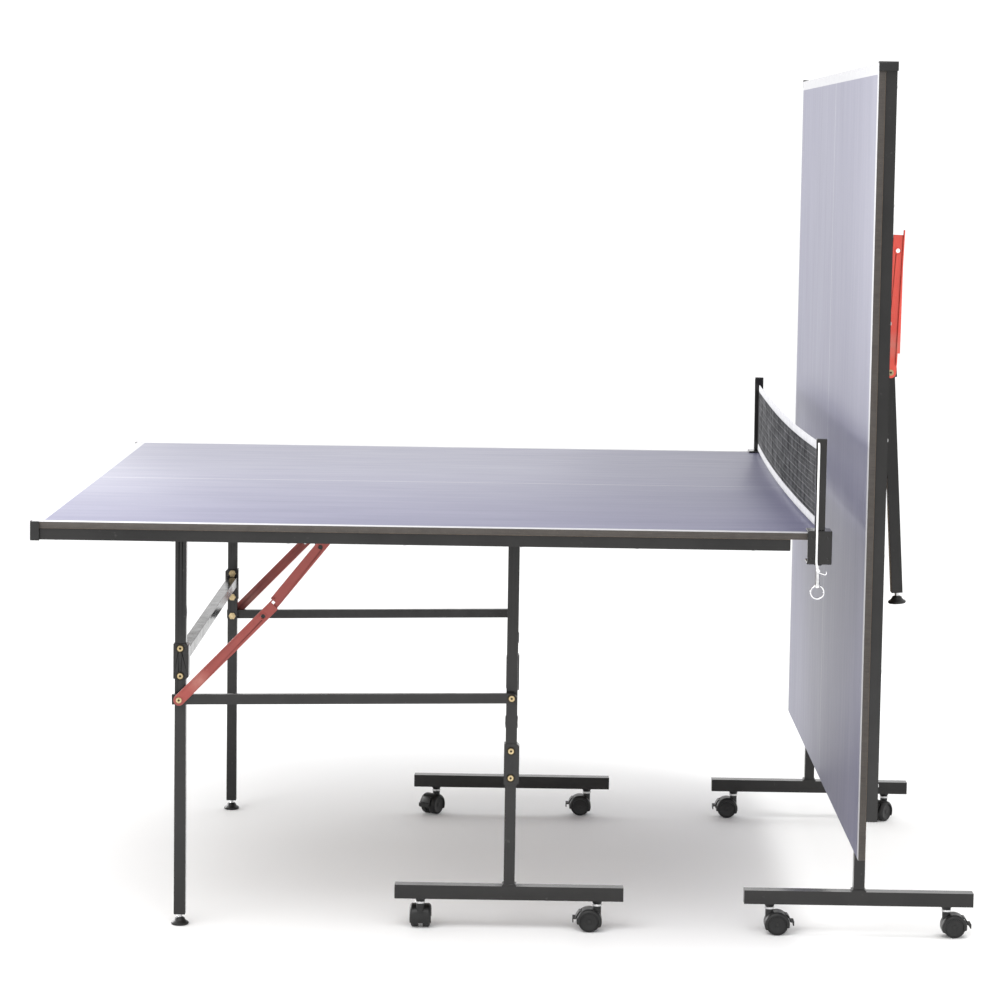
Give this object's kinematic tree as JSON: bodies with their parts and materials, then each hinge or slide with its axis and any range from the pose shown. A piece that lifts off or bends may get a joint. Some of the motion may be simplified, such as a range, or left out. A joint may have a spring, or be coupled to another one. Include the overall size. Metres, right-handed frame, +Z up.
{
  "type": "ping pong table",
  "caption": "Full-size folding table tennis table on wheeled frames, one half level and the other folded upright, with clamped net.",
  "frame": {"origin": "on the floor, below the centre of the whole object's box, in the pose with one half level and the other upright", "axes": "+X along the table's length from the level half towards the upright half, +Y across the table from the near to the far side, +Z up"},
  "size_m": [1.67, 1.5393, 1.563],
  "materials": {
    "blue_board": "blue sprayed MDF playing surface with white lines, satin",
    "black_steel": "black powder coat, semi-gloss",
    "zinc_bolts": "yellow zinc plated bolts and nuts",
    "black_plastic": "moulded, fine texture",
    "red_steel": "red enamel flat bar",
    "wheel_tread": "dark nylon wheels",
    "zinc_screw": "zinc plated screw and ring",
    "net_mesh": "dark knotted mesh with white woven tapes",
    "white_cord": "braided white cord",
    "chrome_wire": "bright wire"
  },
  "bodies": {
    "frame_a": {"wheel_frame_a": "black_steel", "wheel_feet_a": "black_steel", "wheel_frame_bolts_a": "zinc_bolts"},
    "top_a": {"tabletop_a": "blue_board", "apron_frame_a": "black_steel", "corner_caps_a": "black_plastic", "net_clamp_near": "black_steel", "net_clamp_far": "black_steel", "net_posts": "black_steel", "net_cloth": "net_mesh", "net_cord": "white_cord", "cord_hook": "chrome_wire"},
    "legs_a": {"end_legs_a": "black_steel", "end_leg_tubes_a": "black_steel", "end_leg_bolts_a": "zinc_bolts"},
    "links_a": {"side_links_a": "black_steel"},
    "brace_low_a": {"brace_lower_a": "red_steel"},
    "brace_up_a": {"brace_upper_a": "red_steel"},
    "foot_a_near": {"levelling_foot_a_near": "black_plastic"},
    "foot_a_far": {"levelling_foot_a_far": "black_plastic"},
    "frame_b": {"wheel_frame_b": "black_steel", "wheel_feet_b": "black_steel", "wheel_frame_bolts_b": "zinc_bolts"},
    "top_b": {"tabletop_b": "blue_board", "apron_frame_b": "black_steel", "corner_caps_b": "black_plastic"},
    "legs_b": {"end_legs_b": "black_steel", "end_leg_tubes_b": "black_steel", "end_leg_bolts_b": "zinc_bolts"},
    "links_b": {"side_links_b": "black_steel"},
    "brace_low_b": {"brace_lower_b": "red_steel"},
    "brace_up_b": {"brace_upper_b": "red_steel"},
    "foot_b_near": {"levelling_foot_b_near": "black_plastic"},
    "foot_b_far": {"levelling_foot_b_far": "black_plastic"},
    "screw_near": {"clamp_screw_near": "zinc_screw"},
    "screw_far": {"clamp_screw_far": "zinc_screw"},
    "swivel_a_near_left": {"caster_a_near_left_housing": "black_plastic"},
    "wheels_a_near_left": {"caster_a_near_left_wheels": "wheel_tread"},
    "brake_a_near_left": {"caster_a_near_left_brake": "black_plastic"},
    "swivel_a_near_right": {"caster_a_near_right_housing": "black_plastic"},
    "wheels_a_near_right": {"caster_a_near_right_wheels": "wheel_tread"},
    "brake_a_near_right": {"caster_a_near_right_brake": "black_plastic"},
    "swivel_a_far_left": {"caster_a_far_left_housing": "black_plastic"},
    "wheels_a_far_left": {"caster_a_far_left_wheels": "wheel_tread"},
    "brake_a_far_left": {"caster_a_far_left_brake": "black_plastic"},
    "swivel_a_far_right": {"caster_a_far_right_housing": "black_plastic"},
    "wheels_a_far_right": {"caster_a_far_right_wheels": "wheel_tread"},
    "brake_a_far_right": {"caster_a_far_right_brake": "black_plastic"},
    "swivel_b_near_left": {"caster_b_near_left_housing": "black_plastic"},
    "wheels_b_near_left": {"caster_b_near_left_wheels": "wheel_tread"},
    "brake_b_near_left": {"caster_b_near_left_brake": "black_plastic"},
    "swivel_b_near_right": {"caster_b_near_right_housing": "black_plastic"},
    "wheels_b_near_right": {"caster_b_near_right_wheels": "wheel_tread"},
    "brake_b_near_right": {"caster_b_near_right_brake": "black_plastic"},
    "swivel_b_far_left": {"caster_b_far_left_housing": "black_plastic"},
    "wheels_b_far_left": {"caster_b_far_left_wheels": "wheel_tread"},
    "brake_b_far_left": {"caster_b_far_left_brake": "black_plastic"},
    "swivel_b_far_right": {"caster_b_far_right_housing": "black_plastic"},
    "wheels_b_far_right": {"caster_b_far_right_wheels": "wheel_tread"},
    "brake_b_far_right": {"caster_b_far_right_brake": "black_plastic"}
  },
  "joints": [
    {"name": "fold_a", "type": "hinge", "parent": "frame_a", "child": "top_a", "pos_m": [-0.004, 0, 0.732], "axis": [0, 1, 0], "range_deg": [0, 90]},
    {"name": "fold_b", "type": "hinge", "parent": "frame_b", "child": "top_b", "pos_m": [0.628, 0, 0.732], "axis": [0, 1, 0], "range_deg": [0, 90]},
    {"name": "clamp_screw_near_travel", "type": "slide", "parent": "top_a", "child": "screw_near", "axis": [0, 0, 1], "range_m": [-0.02, 0]},
    {"name": "clamp_screw_far_travel", "type": "slide", "parent": "top_a", "child": "screw_far", "axis": [0, 0, 1], "range_m": [-0.02, 0]},
    {"name": "levelling_foot_a_near_travel", "type": "slide", "parent": "legs_a", "child": "foot_a_near", "axis": [0, 0, 1], "range_m": [-0.012, 0.006]},
    {"name": "levelling_foot_a_far_travel", "type": "slide", "parent": "legs_a", "child": "foot_a_far", "axis": [0, 0, 1], "range_m": [-0.012, 0.006]},
    {"name": "levelling_foot_b_near_travel", "type": "slide", "parent": "legs_b", "child": "foot_b_near", "axis": [-0.0628, 0, 0.998], "range_m": [-0.012, 0.006]},
    {"name": "levelling_foot_b_far_travel", "type": "slide", "parent": "legs_b", "child": "foot_b_far", "axis": [-0.0628, 0, 0.998], "range_m": [-0.012, 0.006]},
    {"name": "roll_b", "type": "slide", "parent": "frame_a", "child": "frame_b", "axis": [1, 0, 0], "range_m": [0, 0.51]},
    {"name": "end_legs_a_turn", "type": "hinge", "parent": "top_a", "child": "legs_a", "pos_m": [-0.6, 0, 0.722], "axis": [0, 1, 0], "range_deg": [-86.45, 0]},
    {"name": "side_links_a_turn", "type": "hinge", "parent": "frame_a", "child": "links_a", "pos_m": [-0.004, 0, 0.428], "axis": [0, 1, 0], "range_deg": [0, 88.32]},
    {"name": "brace_lower_a_turn", "type": "hinge", "parent": "legs_a", "child": "brace_low_a", "pos_m": [-0.6, 0, 0.4168], "axis": [0, 1, 0], "range_deg": [-49.85, 0]},
    {"name": "brace_upper_a_turn", "type": "hinge", "parent": "top_a", "child": "brace_up_a", "pos_m": [-0.349, 0, 0.6966], "axis": [0, 1, 0], "range_deg": [0, 50.79]},
    {"name": "end_legs_b_turn", "type": "hinge", "parent": "top_b", "child": "legs_b", "pos_m": [0.638, 0, 1.328], "axis": [0, 1, 0], "range_deg": [-86.45, 0]},
    {"name": "side_links_b_turn", "type": "hinge", "parent": "frame_b", "child": "links_b", "pos_m": [0.628, 0, 0.428], "axis": [0, 1, 0], "range_deg": [0, 88.32]},
    {"name": "brace_lower_b_turn", "type": "hinge", "parent": "legs_b", "child": "brace_low_b", "pos_m": [0.65716, 0, 1.0234], "axis": [0, 1, 0], "range_deg": [-49.85, 0]},
    {"name": "brace_upper_b_turn", "type": "hinge", "parent": "top_b", "child": "brace_up_b", "pos_m": [0.6634, 0, 1.077], "axis": [0, 1, 0], "range_deg": [0, 50.79]},
    {"name": "brake_a_near_left_press", "type": "hinge", "parent": "swivel_a_near_left", "child": "brake_a_near_left", "pos_m": [-0.164, -0.49025, 0.03877], "axis": [-1, 0, 0], "range_deg": [0, 10]},
    {"name": "brake_a_near_right_press", "type": "hinge", "parent": "swivel_a_near_right", "child": "brake_a_near_right", "pos_m": [0.12625, -0.52, 0.03877], "axis": [0, -1, 0], "range_deg": [0, 10]},
    {"name": "brake_a_far_left_press", "type": "hinge", "parent": "swivel_a_far_left", "child": "brake_a_far_left", "pos_m": [-0.18106, 0.49563, 0.03877], "axis": [0.8192, -0.5736, 0], "range_deg": [0, 10]},
    {"name": "brake_a_far_right_press", "type": "hinge", "parent": "swivel_a_far_right", "child": "brake_a_far_right", "pos_m": [0.12625, 0.52, 0.03877], "axis": [0, -1, 0], "range_deg": [0, 10]},
    {"name": "brake_b_near_left_press", "type": "hinge", "parent": "swivel_b_near_left", "child": "brake_b_near_left", "pos_m": [0.49775, -0.52, 0.03877], "axis": [0, 1, 0], "range_deg": [0, 10]},
    {"name": "brake_b_near_right_press", "type": "hinge", "parent": "swivel_b_near_right", "child": "brake_b_near_right", "pos_m": [0.81775, -0.52, 0.03877], "axis": [0, 1, 0], "range_deg": [0, 10]},
    {"name": "brake_b_far_left_press", "type": "hinge", "parent": "swivel_b_far_left", "child": "brake_b_far_left", "pos_m": [0.43825, 0.52, 0.03877], "axis": [0, -1, 0], "range_deg": [0, 10]},
    {"name": "brake_b_far_right_press", "type": "hinge", "parent": "swivel_b_far_right", "child": "brake_b_far_right", "pos_m": [0.76888, 0.49721, 0.03877], "axis": [0.766, -0.6428, 0], "range_deg": [0, 10]},
    {"name": "caster_a_near_left_swivel", "type": "hinge", "parent": "frame_a", "child": "swivel_a_near_left", "pos_m": [-0.164, -0.52, 0.057], "axis": [0, 0, 1], "continuous": true},
    {"name": "caster_a_near_right_swivel", "type": "hinge", "parent": "frame_a", "child": "swivel_a_near_right", "pos_m": [0.156, -0.52, 0.057], "axis": [0, 0, 1], "continuous": true},
    {"name": "caster_a_far_left_swivel", "type": "hinge", "parent": "frame_a", "child": "swivel_a_far_left", "pos_m": [-0.164, 0.52, 0.057], "axis": [0, 0, 1], "continuous": true},
    {"name": "caster_a_far_right_swivel", "type": "hinge", "parent": "frame_a", "child": "swivel_a_far_right", "pos_m": [0.156, 0.52, 0.057], "axis": [0, 0, 1], "continuous": true},
    {"name": "caster_b_near_left_swivel", "type": "hinge", "parent": "frame_b", "child": "swivel_b_near_left", "pos_m": [0.468, -0.52, 0.057], "axis": [0, 0, 1], "continuous": true},
    {"name": "caster_b_near_right_swivel", "type": "hinge", "parent": "frame_b", "child": "swivel_b_near_right", "pos_m": [0.788, -0.52, 0.057], "axis": [0, 0, 1], "continuous": true},
    {"name": "caster_b_far_left_swivel", "type": "hinge", "parent": "frame_b", "child": "swivel_b_far_left", "pos_m": [0.468, 0.52, 0.057], "axis": [0, 0, 1], "continuous": true},
    {"name": "caster_b_far_right_swivel", "type": "hinge", "parent": "frame_b", "child": "swivel_b_far_right", "pos_m": [0.788, 0.52, 0.057], "axis": [0, 0, 1], "continuous": true},
    {"name": "caster_a_near_left_roll", "type": "hinge", "parent": "swivel_a_near_left", "child": "wheels_a_near_left", "pos_m": [-0.164, -0.506, 0.02], "axis": [-1, 0, 0], "continuous": true},
    {"name": "caster_a_near_right_roll", "type": "hinge", "parent": "swivel_a_near_right", "child": "wheels_a_near_right", "pos_m": [0.142, -0.52, 0.02], "axis": [0, -1, 0], "continuous": true},
    {"name": "caster_a_far_left_roll", "type": "hinge", "parent": "swivel_a_far_left", "child": "wheels_a_far_left", "pos_m": [-0.17203, 0.50853, 0.02], "axis": [0.8192, -0.5736, 0], "continuous": true},
    {"name": "caster_a_far_right_roll", "type": "hinge", "parent": "swivel_a_far_right", "child": "wheels_a_far_right", "pos_m": [0.142, 0.52, 0.02], "axis": [0, -1, 0], "continuous": true},
    {"name": "caster_b_near_left_roll", "type": "hinge", "parent": "swivel_b_near_left", "child": "wheels_b_near_left", "pos_m": [0.482, -0.52, 0.02], "axis": [0, 1, 0], "continuous": true},
    {"name": "caster_b_near_right_roll", "type": "hinge", "parent": "swivel_b_near_right", "child": "wheels_b_near_right", "pos_m": [0.802, -0.52, 0.02], "axis": [0, 1, 0], "continuous": true},
    {"name": "caster_b_far_left_roll", "type": "hinge", "parent": "swivel_b_far_left", "child": "wheels_b_far_left", "pos_m": [0.454, 0.52, 0.02], "axis": [0, -1, 0], "continuous": true},
    {"name": "caster_b_far_right_roll", "type": "hinge", "parent": "swivel_b_far_right", "child": "wheels_b_far_right", "pos_m": [0.779, 0.50928, 0.02], "axis": [0.766, -0.6428, 0], "continuous": true}
  ],
  "couplings": [
    {"joint": "roll_b", "follows": "fold_b", "m_per_rad": 0.32461},
    {"joint": "end_legs_a_turn", "follows": "fold_a", "ratio": -0.96},
    {"joint": "side_links_a_turn", "follows": "fold_a", "ratio": 0.9808},
    {"joint": "brace_lower_a_turn", "follows": "fold_a", "ratio": -0.5533},
    {"joint": "brace_upper_a_turn", "follows": "fold_a", "ratio": 0.5638},
    {"joint": "end_legs_b_turn", "follows": "fold_b", "ratio": -0.96},
    {"joint": "side_links_b_turn", "follows": "fold_b", "ratio": 0.9808},
    {"joint": "brace_lower_b_turn", "follows": "fold_b", "ratio": -0.5533},
    {"joint": "brace_upper_b_turn", "follows": "fold_b", "ratio": 0.5638}
  ]
}
